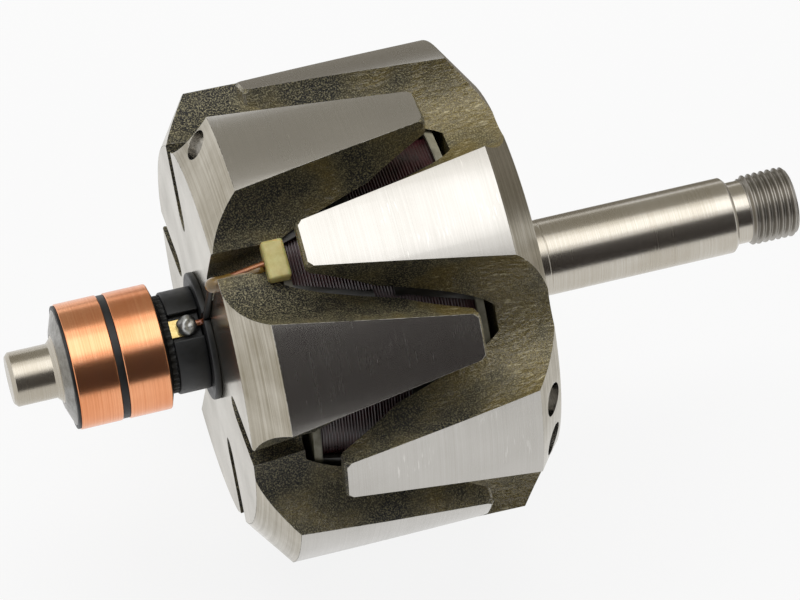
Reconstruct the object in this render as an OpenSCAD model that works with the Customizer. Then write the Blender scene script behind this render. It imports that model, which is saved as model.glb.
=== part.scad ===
// Claw pole rotor of a vehicle alternator: shaft, two forged claw poles, field winding and slip rings.
// Axis along X, drive end towards +X, origin on the axis at the drive end bearing shoulder.

/* [Poles] */
// Outside diameter over the claws (mm)
pole_diameter = 104.6; // [95:0.1:115]
// Length over the two flat pole faces (mm)
pole_stack_length = 67.5; // [60:0.1:75]
// Diameter of the flat end face (mm)
pole_face_diameter = 84; // [76:0.1:94]
// Axial length of the conical edge (mm)
pole_edge_length = 7.15; // [4:0.05:10]
// Length of a claw along the outside (mm)
claw_length = 43.2; // [38:0.1:46]
// Thickness of a claw at its tip (mm)
claw_tip_thickness = 3.2; // [2:0.1:5]
// Distance of the knee on the inside of a claw from the flat face, along the axis (mm)
claw_knee_place = 36; // [32:0.5:40]
// Rise of the inside of a claw from the pole disc to that knee (mm)
claw_knee_rise = 3; // [1:0.1:5]
// Edge chamfer of a claw tip (mm)
claw_tip_chamfer = 0.5; // [0.2:0.1:1]
// Thickness of the pole disc (mm)
pole_disc_thickness = 11.55; // [10:0.05:14]
// Turn of the first drive end claw about the axis, as the rotor lies on its claws (degrees)
claw_turn = 10.5; // [-30:0.5:30]
// Half width of a valley at the rim of the flat face, between its flat sides (mm)
valley_half_width = 8.2; // [6:0.1:10]
// Flare of a valley side, away from the middle line (degrees)
valley_flare_angle = 30; // [27:0.5:36]
// Widening of a valley side along the axis (degrees)
valley_draft_angle = 9.63; // [8:0.01:11]
// Rise of the rounded valley floor over the bobbin flange, at the flat face (mm)
valley_floor_rise = 1.6; // [0.6:0.1:2.2]
// Fall of the valley floor over the pole disc (mm)
valley_floor_fall = 1.27; // [0.8:0.01:2]
// Depth of the floor rounding behind the flat valley sides (mm)
valley_undercut = 0.15; // [0.1:0.05:0.3]
// Radius of the bottom of a lead slot at the flat face (mm)
slot_bottom_radius = 23; // [20:0.1:30]
// Half width of a lead slot (mm)
slot_half_width = 2.7; // [2:0.05:4]
// Length of a lead slot along the axis, to where its bottom would meet the valley floor (mm)
slot_length = 14.5; // [12:0.1:17]
// Shift of a lead slot from the middle of its valley (mm)
slot_shift = 2.4; // [1.5:0.1:3]
// Diameter of the half core on each pole (mm)
core_diameter = 54; // [46:0.5:60]
// Diameter of the balance hole in the conical edge at the slip ring end (mm)
slip_ring_end_drill_diameter = 6.6; // [4:0.1:8]
// Diameter of the balance holes in the conical edge at the drive end (mm)
drive_end_drill_diameter = 7.4; // [4:0.1:8]
// Depth of a balance hole (mm)
drill_depth = 4.5; // [2:0.1:6]
// Length of the blunt point of a balance hole beyond that depth (mm)
drill_point_length = 1.8; // [1:0.1:3]
// Diameter of the flat end of that point (mm)
drill_point_diameter = 1.2; // [0.6:0.1:2]
// Distance of the slip ring end balance hole from its flat face, along the axis (mm)
slip_ring_end_drill_place = 3.7; // [2:0.1:5]
// Distance of the drive end balance holes from their flat face, along the axis (mm)
drive_end_drill_place = 3; // [2:0.1:5]

/* [Shaft] */
// Diameter of the drive end journal (mm)
drive_journal_diameter = 17; // [15:0.5:20]
// Length of the drive end journal, shoulder to thread relief (mm)
drive_journal_length = 45.8; // [38:0.1:55]
// Diameter of the bearing shoulder (mm)
shoulder_diameter = 23; // [20:0.1:28]
// Length of the bearing shoulder, pole face to bearing (mm)
shoulder_length = 6.25; // [4:0.05:10]
// Diameter of the thread relief (mm)
relief_diameter = 14; // [12:0.1:15]
// Length of the thread relief (mm)
relief_length = 3.35; // [2:0.05:5]
// Outside diameter of the thread (mm)
thread_diameter = 15.7; // [14:0.1:16]
// Length of the thread (mm)
thread_length = 10.85; // [9:0.05:20]
// Diameter of the shaft inside the poles (mm)
seat_diameter = 18; // [17:0.1:20]
// Diameter of the shaft under the slip rings (mm)
ring_seat_diameter = 15; // [14:0.1:16]
// Diameter of the tapered root of the slip ring end journal (mm)
rear_root_diameter = 14.4; // [12.4:0.1:15]
// Length of the tapered root of the slip ring end journal (mm)
rear_root_length = 1.2; // [0.8:0.1:2]
// Diameter of the slip ring end journal (mm)
rear_journal_diameter = 12; // [10:0.1:12]
// Length of the slip ring end journal (mm)
rear_journal_length = 9.35; // [8:0.05:16]
// Edge chamfer of the shaft ends (mm)
shaft_chamfer = 0.8; // [0.3:0.1:1.5]
// Diameter of the half moon key cutter (mm)
key_cutter_diameter = 13; // [10:0.5:16]
// Width of the keyway (mm)
key_width = 4; // [3:0.5:5]
// Depth of the keyway (mm)
key_depth = 3.8; // [2:0.1:5]
// Middle of the keyway, from the shoulder (mm)
key_place = 38.4; // [30:0.1:45]
// Turn of the keyway about the axis (degrees)
key_turn = -34.5; // [-180:0.5:180]

/* [Slip rings] */
// Diameter of the copper rings (mm)
ring_diameter = 27.7; // [24:0.1:32]
// Wall of the copper rings (mm)
ring_wall = 1.8; // [1:0.1:3]
// Width of the outer copper ring (mm)
outer_ring_width = 9.2; // [7:0.05:12]
// Width of the inner copper ring (mm)
inner_ring_width = 9.3; // [7:0.05:12]
// Width of the wall between the rings (mm)
ring_gap = 1.65; // [1:0.05:3]
// Width of the rim at the outer end (mm)
outer_rim_width = 0.6; // [0.4:0.05:2]
// Width of the sloping rim at the inner end (mm)
inner_rim_width = 0.95; // [0.6:0.05:2]
// Drop of the insulating rims below the copper (mm)
rim_drop = 0.25; // [0.1:0.05:0.6]
// Length of the domed end cap (mm)
cap_length = 1.6; // [1:0.05:3]
// Diameter of the small end of the end cap (mm)
cap_tip_diameter = 17; // [16.4:0.1:20]
// Inset of the large end of the end cap from the rim (mm)
cap_inset = 0.6; // [0.3:0.1:1.5]
// Width of the ribbed neck (mm)
neck_width = 1.35; // [0.8:0.05:3]
// Diameter of the ribbed neck (mm)
neck_diameter = 21.6; // [19:0.1:24]
// Diameter of the terminal collar (mm)
collar_diameter = 22.6; // [20:0.1:26]
// Length of the terminal collar (mm)
collar_length = 7.05; // [5:0.05:9]
// Width of a terminal slot (mm)
terminal_slot_width = 5.9; // [4:0.1:8]
// Radius of the floor of a terminal slot (mm)
terminal_slot_floor = 8.9; // [8.2:0.1:10]
// Diameter of the insulating washer (mm)
washer_diameter = 28.2; // [24:0.1:32]
// Thickness of the insulating washer (mm)
washer_thickness = 1.5; // [1.5:0.05:4]

/* [Winding] */
// Wall of the bobbin tube (mm)
bobbin_wall = 1.2; // [0.8:0.1:2]
// Depth of the winding (mm)
coil_depth = 10.4; // [8:0.1:12]
// Thickness of the bobbin flanges (mm)
flange_thickness = 1.5; // [0.8:0.1:2]
// Gap between a bobbin flange and its pole disc (mm)
bobbin_end_gap = 2; // [1:0.1:3]
// Thickness of the bobbin petals over the coil (mm)
petal_thickness = 1; // [0.6:0.1:1.5]
// Length of the bobbin petals, flange included (mm)
petal_length = 18; // [10:0.5:19]
// Height of the solid root of the petals beyond the flange (mm)
petal_root_height = 0.26; // [0.2:0.02:1]
// Half width of the gap between two petals at the flange (mm)
petal_gap_half_width = 4.6; // [3:0.1:6]
// Widening of the gap between two petals (degrees)
petal_draft_angle = 17; // [12:0.5:20]
// Gap between the coil and the petals (mm)
coil_gap = 0.2; // [0.1:0.05:0.5]
// Gap between the petals and the claws (mm)
claw_gap = 0.5; // [0.3:0.1:1]

/* [Leads] */
// Turn of a lead away from the middle of its valley (degrees)
lead_lean = 1; // [0.5:0.1:1.5]
// Length of a lead block along the axis (mm)
block_length = 4.9; // [3:0.1:6]
// Width of a lead block (mm)
block_width = 8.8; // [6:0.1:9]
// Reach of a lead block beyond the bobbin flange (mm)
block_overhang = 0.2; // [0.1:0.05:0.6]
// Height of a lead block above the bobbin flange (mm)
block_height = 3.4; // [2.5:0.1:4]
// Height of the lead above the bobbin flange where it enters its block (mm)
lead_entry_height = 1.5; // [1:0.1:2]
// Radius at which a lead bends down along the flat face (mm)
lead_bend_radius = 36; // [32:0.1:38]
// Diameter of a lead wire (mm)
lead_diameter = 1.4; // [0.8:0.1:2]
// Swelling of a lead at its bends (mm)
lead_bulge = 0.06; // [0.04:0.02:0.2]
// Gap round a lead in the washer notch (mm)
lead_gap = 0.1; // [0.05:0.05:0.3]
// Length of the bare lead end beyond the washer (mm)
lead_end = 4.2; // [2:0.1:5]
// Diameter of the resin seal round a lead bend (mm)
seal_diameter = 3.2; // [2:0.1:4]
// Length of the resin seal along the flat face, below the bend (mm)
seal_length = 6.5; // [4:0.1:8]
// Diameter of the small ends of the resin seal (mm)
seal_end_diameter = 1.8; // [1.6:0.1:2.4]
// Length of the tapers at the ends of the resin seal (mm)
seal_taper_length = 1; // [0.5:0.1:1.5]
// Gap between the resin seal and the flat face (mm)
seal_gap = 0.1; // [0.05:0.05:0.3]
// Diameter of a solder bead (mm)
bead_diameter = 4.6; // [3:0.1:5.5]
// Distance of a solder bead from the washer (mm)
bead_place = 3.3; // [2.6:0.1:4]
// Height of the middle of a solder bead over its tab (mm)
bead_lift = 0.9; // [0.6:0.1:1.5]
// Width of a terminal tab (mm)
tab_width = 4; // [2:0.1:5]
// Thickness of a terminal tab (mm)
tab_thickness = 0.8; // [0.5:0.1:1.2]
// Length of a terminal tab (mm)
tab_length = 3.9; // [2:0.1:5]

/* [Hidden] */
$fn = 96;
claw_count = 6;
claw_step = 360 / claw_count;
half_step = claw_step / 2;
lead_turns = [0, 180];
slip_ring_end_drill = 11.3;
drive_end_drills = [4.6, -11];
overshoot = 1;
big = 200;

pole_radius = pole_diameter / 2;
face_radius = pole_face_diameter / 2;
half_stack = pole_stack_length / 2;
tip_place = pole_edge_length + claw_length;
core_radius = core_diameter / 2;
seat_radius = seat_diameter / 2;
middle_place = -(shoulder_length + half_stack);
bobbin_half = half_stack - pole_disc_thickness - bobbin_end_gap;
tube_radius = core_radius + bobbin_wall;
coil_radius = tube_radius + coil_depth;
petal_inner_radius = coil_radius + coil_gap;
flange_radius = petal_inner_radius + petal_thickness;
claw_inner_radius = flange_radius + claw_gap;
valley_floor_radius = flange_radius + valley_floor_rise;
petal_root = flange_thickness + petal_root_height;

// Valley floor: a cone that touches both flat sides, with its apex outside the flat face
valley_rim_place = face_radius * cos(asin(valley_half_width / face_radius));
side_meeting = valley_rim_place - valley_half_width / tan(valley_flare_angle);
side_meeting_fall = tan(valley_draft_angle) / sin(valley_flare_angle);
side_lean = sin(valley_flare_angle) * cos(valley_draft_angle);
floor_angle = atan(valley_floor_fall / pole_disc_thickness);
cone_place = (valley_floor_radius - side_meeting) / (tan(floor_angle) - side_meeting_fall);
cone_radius = valley_floor_radius - tan(floor_angle) * cone_place;
cone_angle = atan(side_lean * (side_meeting_fall * cos(floor_angle) - sin(floor_angle))
                  / (1 - side_lean * (cos(floor_angle) + side_meeting_fall * sin(floor_angle))));
cone_tilt = cone_angle - floor_angle;
cone_spread = side_lean * (tan(cone_tilt) + side_meeting_fall);
touch_tilt = atan((tan(cone_tilt) - side_lean * cone_spread) / (1 - cone_spread * sin(valley_draft_angle)));

edge_slope = (pole_radius - face_radius) / pole_edge_length;
slot_floor_end = valley_floor_radius - slot_length * tan(floor_angle);
slot_angle = atan((slot_floor_end - slot_bottom_radius) / slot_length);

rear_face = -half_stack;
washer_place = rear_face - washer_thickness;
collar_place = washer_place - collar_length;
neck_place = collar_place - neck_width;
inner_ring_place = neck_place - inner_rim_width - inner_ring_width;
outer_ring_place = inner_ring_place - ring_gap - outer_ring_width;
outer_rim_place = outer_ring_place - outer_rim_width;
cap_place = outer_rim_place - cap_length;
rear_root_place = cap_place - rear_root_length;
ring_radius = ring_diameter / 2;
ring_bore = ring_radius - ring_wall;
rim_radius = ring_radius - rim_drop;
ring_seat_radius = ring_seat_diameter / 2;
block_place = pole_disc_thickness + bobbin_end_gap + flange_thickness + block_overhang - block_length;
lead_radius = lead_diameter / 2;
lead_floor = terminal_slot_floor + tab_thickness + lead_radius;

// Local Z runs along the shaft from the middle of the poles
module lay() {
    translate([middle_place, 0, 0]) rotate([0, 90, 0]) children();
}

// Local X points outwards at this turn about the axis
module around(turn) {
    rotate([0, 0, -90 - turn]) children();
}

module at_lead(turn) {
    lay() around(claw_turn + claw_step + lead_lean + turn) children();
}

module valley_side() {
    translate([valley_rim_place, valley_half_width, 0])
        rotate([0, 0, valley_flare_angle])
            rotate([-valley_draft_angle, 0, 0])
                translate([-big, -2 * big, -big]) cube([2 * big, 2 * big, 2 * big]);
}

module valley_flare() {
    intersection() {
        valley_side();
        mirror([0, 1, 0]) valley_side();
        children();
    }
}

module valley() {
    translate([cone_radius, 0, cone_place]) rotate([0, cone_tilt, 0])
        translate([0, 0, -valley_undercut / sin(cone_angle)])
            cylinder(r1 = 0, r2 = big * tan(cone_angle), h = big);
    valley_flare() translate([cone_radius, -big / 2, cone_place])
        rotate([0, touch_tilt, 0]) cube([big, big, big]);
}

module lead_slot() {
    translate([slot_bottom_radius, -slot_shift, 0])
        rotate([0, slot_angle, 0])
            translate([slot_half_width, 0, -big / 2]) {
                cylinder(r = slot_half_width, h = big);
                translate([0, -slot_half_width, 0]) cube([pole_radius, 2 * slot_half_width, big]);
            }
}

module balance_hole(place, diameter) {
    translate([face_radius + place * edge_slope, 0, place])
        rotate([0, 90 + atan(edge_slope), 0]) rotate_extrude() polygon([
            [0, -drill_depth - drill_point_length],
            [drill_point_diameter / 2, -drill_depth - drill_point_length],
            [diameter / 2, -drill_depth],
            [diameter / 2, drill_depth],
            [0, drill_depth]
        ]);
}

module pole() {
    difference() {
        rotate_extrude() polygon([
            [seat_radius, 0],
            [face_radius, 0],
            [pole_radius, pole_edge_length],
            [pole_radius, tip_place - claw_tip_chamfer],
            [pole_radius - claw_tip_chamfer, tip_place],
            [pole_radius - claw_tip_thickness, tip_place],
            [claw_inner_radius + claw_knee_rise, claw_knee_place],
            [claw_inner_radius, pole_disc_thickness],
            [core_radius, pole_disc_thickness],
            [core_radius, half_stack],
            [seat_radius, half_stack]
        ]);
        for (k = [0:claw_count - 1]) rotate([0, 0, k * claw_step]) valley();
    }
}

module slip_ring_end_pole() {
    color("#8d8b86") lay() translate([0, 0, -half_stack]) around(claw_turn) difference() {
        pole();
        rotate([0, 0, -half_step - claw_step - slip_ring_end_drill])
            balance_hole(slip_ring_end_drill_place, slip_ring_end_drill_diameter);
        for (k = [0:claw_count - 1]) rotate([0, 0, k * claw_step]) lead_slot();
    }
}

module drive_end_pole() {
    color("#8d8b86") lay() translate([0, 0, half_stack]) rotate([180, 0, 0])
        around(180 - claw_turn - half_step) difference() {
            pole();
            for (turn = drive_end_drills) rotate([0, 0, turn - half_step])
                balance_hole(drive_end_drill_place, drive_end_drill_diameter);
        }
}

module petal_gap_side() {
    translate([0, petal_gap_half_width, petal_root])
        rotate([-petal_draft_angle, 0, 0])
            translate([0, -big, -big / 2]) cube([big, big, big]);
}

module petal_gap() {
    translate([0, 0, -bobbin_half]) intersection() {
        petal_gap_side();
        mirror([0, 1, 0]) petal_gap_side();
        translate([petal_inner_radius - petal_thickness, -big / 2, petal_root])
            cube([big, big, petal_length]);
    }
}

module bobbin() {
    flange = bobbin_half - flange_thickness;
    petal = bobbin_half - petal_length;
    color("#d8d2a0") lay() difference() {
        rotate_extrude() polygon([
            [core_radius, -bobbin_half],
            [flange_radius, -bobbin_half],
            [flange_radius, -petal],
            [petal_inner_radius, -petal],
            [petal_inner_radius, -flange],
            [tube_radius, -flange],
            [tube_radius, flange],
            [petal_inner_radius, flange],
            [petal_inner_radius, petal],
            [flange_radius, petal],
            [flange_radius, bobbin_half],
            [core_radius, bobbin_half]
        ]);
        for (k = [0:claw_count - 1]) {
            around(claw_turn + k * claw_step) petal_gap();
            around(claw_turn + half_step + k * claw_step) mirror([0, 0, 1]) petal_gap();
        }
    }
}

module field_coil() {
    color("#6e2d32") lay() difference() {
        cylinder(r = coil_radius, h = 2 * (bobbin_half - flange_thickness), center = true);
        cylinder(r = tube_radius, h = 2 * bobbin_half, center = true);
    }
}

module ring(place, width) {
    lay() translate([0, 0, place]) difference() {
        cylinder(r = ring_radius, h = width);
        translate([0, 0, -overshoot]) cylinder(r = ring_bore, h = width + 2 * overshoot);
    }
}

module slip_ring_outer() {
    color("#cd784b") ring(outer_ring_place, outer_ring_width);
}

module slip_ring_inner() {
    color("#cd784b") ring(inner_ring_place, inner_ring_width);
}

module slip_ring_moulding() {
    color("#1e2023") lay() rotate_extrude() polygon([
        [ring_seat_radius, outer_rim_place],
        [rim_radius, outer_rim_place],
        [rim_radius, outer_ring_place],
        [ring_bore, outer_ring_place],
        [ring_bore, outer_ring_place + outer_ring_width],
        [rim_radius, outer_ring_place + outer_ring_width],
        [rim_radius, inner_ring_place],
        [ring_bore, inner_ring_place],
        [ring_bore, inner_ring_place + inner_ring_width],
        [rim_radius, inner_ring_place + inner_ring_width],
        [neck_diameter / 2, neck_place],
        [neck_diameter / 2, collar_place],
        [ring_seat_radius, collar_place]
    ]);
}

module ring_end_cap() {
    color("#b4b2ac") lay() rotate_extrude() polygon([
        [ring_seat_radius, cap_place],
        [cap_tip_diameter / 2, cap_place],
        [rim_radius - cap_inset, outer_rim_place],
        [ring_seat_radius, outer_rim_place]
    ]);
}

module terminal_slot() {
    translate([terminal_slot_floor, -terminal_slot_width / 2, collar_place - overshoot])
        cube([collar_diameter, terminal_slot_width, collar_length + 2 * overshoot]);
}

module terminal_collar() {
    color("#1e2023") lay() difference() {
        translate([0, 0, collar_place]) cylinder(d = collar_diameter, h = collar_length);
        translate([0, 0, collar_place - overshoot])
            cylinder(r = ring_seat_radius, h = collar_length + 2 * overshoot);
        for (turn = lead_turns) around(claw_turn + claw_step + lead_lean + turn) terminal_slot();
    }
}

module washer_notch() {
    translate([terminal_slot_floor, -lead_radius - lead_gap, washer_place - overshoot])
        cube([washer_diameter, lead_diameter + 2 * lead_gap, washer_thickness + 2 * overshoot]);
}

module insulating_washer() {
    color("#1e2023") lay() difference() {
        translate([0, 0, washer_place]) cylinder(d = washer_diameter, h = washer_thickness);
        translate([0, 0, washer_place - overshoot])
            cylinder(r = ring_seat_radius, h = washer_thickness + 2 * overshoot);
        for (turn = lead_turns) around(claw_turn + claw_step + lead_lean + turn) washer_notch();
    }
}

module lead_block() {
    translate([0, 0, rear_face]) intersection() {
        translate([flange_radius, -block_width / 2, block_place])
            cube([block_height, block_width, block_length]);
        rotate([0, 0, lead_lean]) valley();
    }
}

module lead_block_a() {
    color("#dcd78c") at_lead(lead_turns[0]) lead_block();
}

module lead_block_b() {
    color("#dcd78c") at_lead(lead_turns[1]) lead_block();
}

// A lead leaves its block, bends down along the flat face and ends at its terminal tab
module lead_wire() {
    rise = flange_radius + lead_entry_height - lead_bend_radius;
    run = block_place + lead_radius;
    bend_place = rear_face - lead_radius;
    difference() {
        translate([lead_bend_radius, 0, bend_place]) rotate([0, atan(rise / run), 0])
            cylinder(d = lead_diameter, h = norm([rise, run]) + lead_diameter);
        translate([0, -big / 2, rear_face + block_place]) cube([big, big, big]);
    }
    translate([lead_bend_radius, 0, bend_place]) sphere(d = lead_diameter + lead_bulge);
    translate([lead_floor, 0, bend_place]) rotate([0, 90, 0])
        cylinder(d = lead_diameter, h = lead_bend_radius - lead_floor);
    translate([lead_floor, 0, bend_place]) sphere(d = lead_diameter + lead_bulge);
    translate([lead_floor, 0, washer_place - lead_end])
        cylinder(d = lead_diameter, h = bend_place - washer_place + lead_end);
}

module lead_wire_a() {
    color("#a84c3a") at_lead(lead_turns[0]) lead_wire();
}

module lead_wire_b() {
    color("#a84c3a") at_lead(lead_turns[1]) lead_wire();
}

module lead_seal() {
    top = seal_length + seal_taper_length;
    difference() {
        translate([lead_bend_radius - seal_length, 0, rear_face - lead_radius])
            rotate([0, 90, 0]) rotate_extrude() polygon([
                [0, 0],
                [seal_end_diameter / 2, 0],
                [seal_diameter / 2, seal_taper_length],
                [seal_diameter / 2, seal_length],
                [seal_end_diameter / 2, top],
                [0, top]
            ]);
        lead_wire();
        translate([0, -big / 2, rear_face - seal_gap]) cube([big, big, big]);
    }
}

module lead_seal_a() {
    color("#8a6a2c") at_lead(lead_turns[0]) lead_seal();
}

module lead_seal_b() {
    color("#8a6a2c") at_lead(lead_turns[1]) lead_seal();
}

module terminal_tab() {
    translate([terminal_slot_floor, -tab_width / 2, collar_place])
        cube([tab_thickness, tab_width, tab_length]);
}

module terminal_tab_a() {
    color("#b5994f") at_lead(lead_turns[0]) terminal_tab();
}

module terminal_tab_b() {
    color("#b5994f") at_lead(lead_turns[1]) terminal_tab();
}

module solder_bead() {
    tab_top = terminal_slot_floor + tab_thickness;
    difference() {
        translate([tab_top + bead_lift, 0, washer_place - bead_place]) sphere(d = bead_diameter);
        terminal_tab();
        lead_wire();
        translate([0, 0, collar_place]) cylinder(r = tab_top - tab_thickness / 2, h = collar_length);
    }
}

module solder_bead_a() {
    color("#b9bab5") at_lead(lead_turns[0]) solder_bead();
}

module solder_bead_b() {
    color("#b9bab5") at_lead(lead_turns[1]) solder_bead();
}

module keyway() {
    translate([drive_journal_diameter / 2 - key_depth + key_cutter_diameter / 2, 0, 0])
        rotate([90, 0, 0]) cylinder(d = key_cutter_diameter, h = key_width, center = true);
}

module shaft() {
    journal = drive_journal_diameter / 2;
    thread = thread_diameter / 2;
    rear = rear_journal_diameter / 2;
    shoulder = shoulder_diameter / 2;
    shoulder_end = half_stack + shoulder_length;
    journal_end = shoulder_end + drive_journal_length;
    relief_end = journal_end + relief_length;
    thread_end = relief_end + thread_length;
    rear_end = rear_root_place - rear_journal_length;
    color("#a9a59d") lay() difference() {
        rotate_extrude() polygon([
            [0, rear_end],
            [rear - shaft_chamfer, rear_end],
            [rear, rear_end + shaft_chamfer],
            [rear, rear_root_place],
            [rear_root_diameter / 2, cap_place],
            [ring_seat_radius, cap_place],
            [ring_seat_radius, rear_face],
            [seat_radius, rear_face],
            [seat_radius, half_stack],
            [shoulder, half_stack],
            [shoulder, shoulder_end - shaft_chamfer],
            [shoulder - shaft_chamfer, shoulder_end],
            [journal, shoulder_end],
            [journal, journal_end - shaft_chamfer],
            [journal - shaft_chamfer, journal_end],
            [relief_diameter / 2, journal_end],
            [relief_diameter / 2, relief_end],
            [thread - shaft_chamfer, relief_end],
            [thread, relief_end + shaft_chamfer],
            [thread, thread_end - shaft_chamfer],
            [thread - shaft_chamfer, thread_end],
            [0, thread_end]
        ]);
        translate([0, 0, shoulder_end + key_place]) around(key_turn) keyway();
    }
}

shaft();
slip_ring_end_pole();
drive_end_pole();
bobbin();
field_coil();
slip_ring_outer();
slip_ring_inner();
slip_ring_moulding();
ring_end_cap();
terminal_collar();
insulating_washer();
lead_block_a();
lead_block_b();
lead_seal_a();
lead_seal_b();
lead_wire_a();
lead_wire_b();
terminal_tab_a();
terminal_tab_b();
solder_bead_a();
solder_bead_b();
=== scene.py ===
import math
import random

import bmesh
import bpy
from mathutils import Matrix, Vector, noise


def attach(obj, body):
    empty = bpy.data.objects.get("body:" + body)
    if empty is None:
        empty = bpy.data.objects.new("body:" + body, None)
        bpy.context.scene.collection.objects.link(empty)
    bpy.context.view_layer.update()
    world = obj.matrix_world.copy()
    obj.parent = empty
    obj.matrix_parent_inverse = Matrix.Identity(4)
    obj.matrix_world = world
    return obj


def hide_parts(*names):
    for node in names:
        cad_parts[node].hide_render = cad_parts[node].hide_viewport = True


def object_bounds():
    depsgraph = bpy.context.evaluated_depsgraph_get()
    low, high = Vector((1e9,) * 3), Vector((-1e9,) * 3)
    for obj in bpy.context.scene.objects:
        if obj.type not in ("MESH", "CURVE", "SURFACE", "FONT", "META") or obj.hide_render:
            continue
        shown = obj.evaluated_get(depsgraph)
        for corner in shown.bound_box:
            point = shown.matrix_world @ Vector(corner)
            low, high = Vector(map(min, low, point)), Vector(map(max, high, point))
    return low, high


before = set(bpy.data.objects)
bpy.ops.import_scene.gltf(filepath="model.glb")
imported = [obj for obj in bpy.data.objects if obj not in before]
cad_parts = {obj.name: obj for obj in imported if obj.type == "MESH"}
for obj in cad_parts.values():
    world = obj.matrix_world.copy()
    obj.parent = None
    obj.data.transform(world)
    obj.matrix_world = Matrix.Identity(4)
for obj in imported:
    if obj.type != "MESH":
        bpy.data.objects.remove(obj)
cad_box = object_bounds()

random.seed(7)
MM = 0.001
scene = bpy.context.scene
scene.view_settings.view_transform = "Standard"

# Rotor sizes in millimetres: places along the axis from the drive end bearing shoulder, drive end towards +X

# Shaft
REAR_END = -117.5
REAR_JOURNAL_RADIUS = 6.0
REAR_ROOT_PLACE = -108.15
REAR_ROOT_RADIUS = 7.2
RING_SEAT_RADIUS = 7.5
SEAT_RADIUS = 9.0
SHOULDER_RADIUS = 11.5
JOURNAL_RADIUS = 8.5
JOURNAL_END = 45.8
RELIEF_RADIUS = 7.0
RELIEF_END = 49.15
SHAFT_CHAMFER = 0.8
SHAFT_EASE = 0.15
CENTRE_RADIUS = 0.4
GROOVE_PLACE = 2.4
GROOVE_HALF_WIDTH = 0.2
GROOVE_DEPTH = 0.08
THREAD_RADIUS = 7.85
THREAD_END = 60.0
THREAD_PITCH = 1.5
THREAD_DEPTH = 0.85
THREAD_CREST_SHARE = 0.12
THREAD_FLANK_SHARE = 0.72
KEY_CUTTER_RADIUS = 6.5
KEY_WIDTH = 4.0
KEY_DEPTH = 3.8
KEY_PLACE = 38.4
KEY_TURN = -34.5

# Slip rings, their moulding and its poured end
CAP_PLACE = -106.95
CAP_TIP_RADIUS = 8.5
CAP_STEP = 0.6
CAP_EASE = 0.5
CAP_NOTCHES = (20, 110, 200, 290)
CAP_NOTCH_HALF_TURN = 9
CAP_NOTCH_DEPTH = 0.7
CAP_NOTCH_REACH = 1
OUTER_RIM_PLACE = -105.35
OUTER_RING_PLACE = -104.75
OUTER_RING_WIDTH = 9.2
INNER_RING_PLACE = -93.9
INNER_RING_WIDTH = 9.3
RING_RADIUS = 13.85
RING_BORE = 12.05
RING_EASE = 0.25
RIM_RADIUS = 13.6
MOULDING_EASE = 0.15
NECK_PLACE = -83.65
NECK_RADIUS = 10.8
NECK_RIBS = 40
NECK_RIB_DEPTH = 0.35
NECK_SLACK = 0.1
COLLAR_PLACE = -82.3
WASHER_PLACE = -75.25

# Poles; the drillings by pole, with each one's turn in degrees
REAR_FACE = -73.75
DRIVE_FACE = -6.25
POLE_MIDDLE = -40.0
POLE_RADIUS = 52.3
FACE_RADIUS = 42.0
EDGE_LENGTH = 7.15
EDGE_SLOPE = (POLE_RADIUS - FACE_RADIUS) / EDGE_LENGTH
CLAW_LENGTH = 43.2
TIP_ROUND = 0.9
TIP_REACH = 0.6
POLE_EASE = 0.35
DRILL_RADIUS = {"slip_ring_end_pole": 3.3, "drive_end_pole": 3.7}
DRILL_PLACE = {"slip_ring_end_pole": 3.7, "drive_end_pole": 3.0}
DRILL_TURNS = {"slip_ring_end_pole": [111.8], "drive_end_pole": [15.1, -0.5]}
DRILL_REACH = 7

# Winding and bobbin
COIL_RADIUS = 38.6
COIL_BORE = 28.2
COIL_HALF_LENGTH = 18.7
WIRE_PITCH = 0.65
TURN_SINK = 0.14
WIRE_WANDER = 0.05
WANDER_BETWEEN_TURNS = 3.1
WANDER_ROUND_A_TURN = 2
COIL_SLACK = 0.01
PETAL_HALF_LENGTH = 18.2
FLANGE_START = 18.8

# Leads, from the block over the pole face to the collar; the varnish run's corners are place, radius and
# lean in degrees
LEAD_TURNS = {"a": 71.5, "b": 251.5}
LEAD_RADIUS = 0.7
LEAD_BEND = 1.6
LEAD_TOP_PLACE = -63.3
LEAD_TOP_RADIUS = 41.25
LEAD_FACE_PLACE = -74.45
LEAD_FACE_RADIUS = 36
LEAD_END_PLACE = WASHER_PLACE - 4.2
LEAD_END_RADIUS = 10.4
SLEEVE_START = 31.0
SLEEVE_END = 12.0
RUN_CORNERS = ((-63.6, 40.7, 0.9), (-68, 38.6, 0.9), (-74.3, 35.9, 0.2), (LEAD_FACE_PLACE, 29, 0))
RUN_START_RADIUS = 0.85
RUN_GROWTH = 0.7
RUN_LUMP = 0.25
RUN_LUMP_SIZE = 2.5
RUN_TIP_RADIUS = 0.05
RUN_CLOSING = 9
BEAD_PLACE = WASHER_PLACE - 3.3
BEAD_RADIUS = 10.6
BEAD_SIZE = (2.25, 2.2, 2.2)
BEAD_LUMP = 0.2
BEAD_LUMPS = 1.6
BLOCK_EASE = 0.8
BLOCK_SHORTEST_EDGE = 1.2

# Sides and steps that the visual meshes are divided into, and how much of a side a rounded corner may take
SHAFT_SIDES = 120
THREAD_STEPS = 110
CUTTER_SIDES = 64
RING_SIDES = 128
MOULDING_SIDES = 320
CAP_SIDES = 256
COIL_SIDES = 144
STEPS_PER_TURN = 8
LEAD_SIDES = 16
RUN_SIDES = 24
CORNER_SHARE = 0.4

# How near a face of the forging has to lie to a machined shape, and how squarely it has to face (cosine)
DRILL_SLACK = 0.02
OUTSIDE_SLACK = 0.3
OUTSIDE_FACING = 0.95
END_SLACK = 0.05
CONE_SLACK = 0.35
CONE_FACING = 0.5
UPRIGHT_SHARE = 0.3

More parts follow.
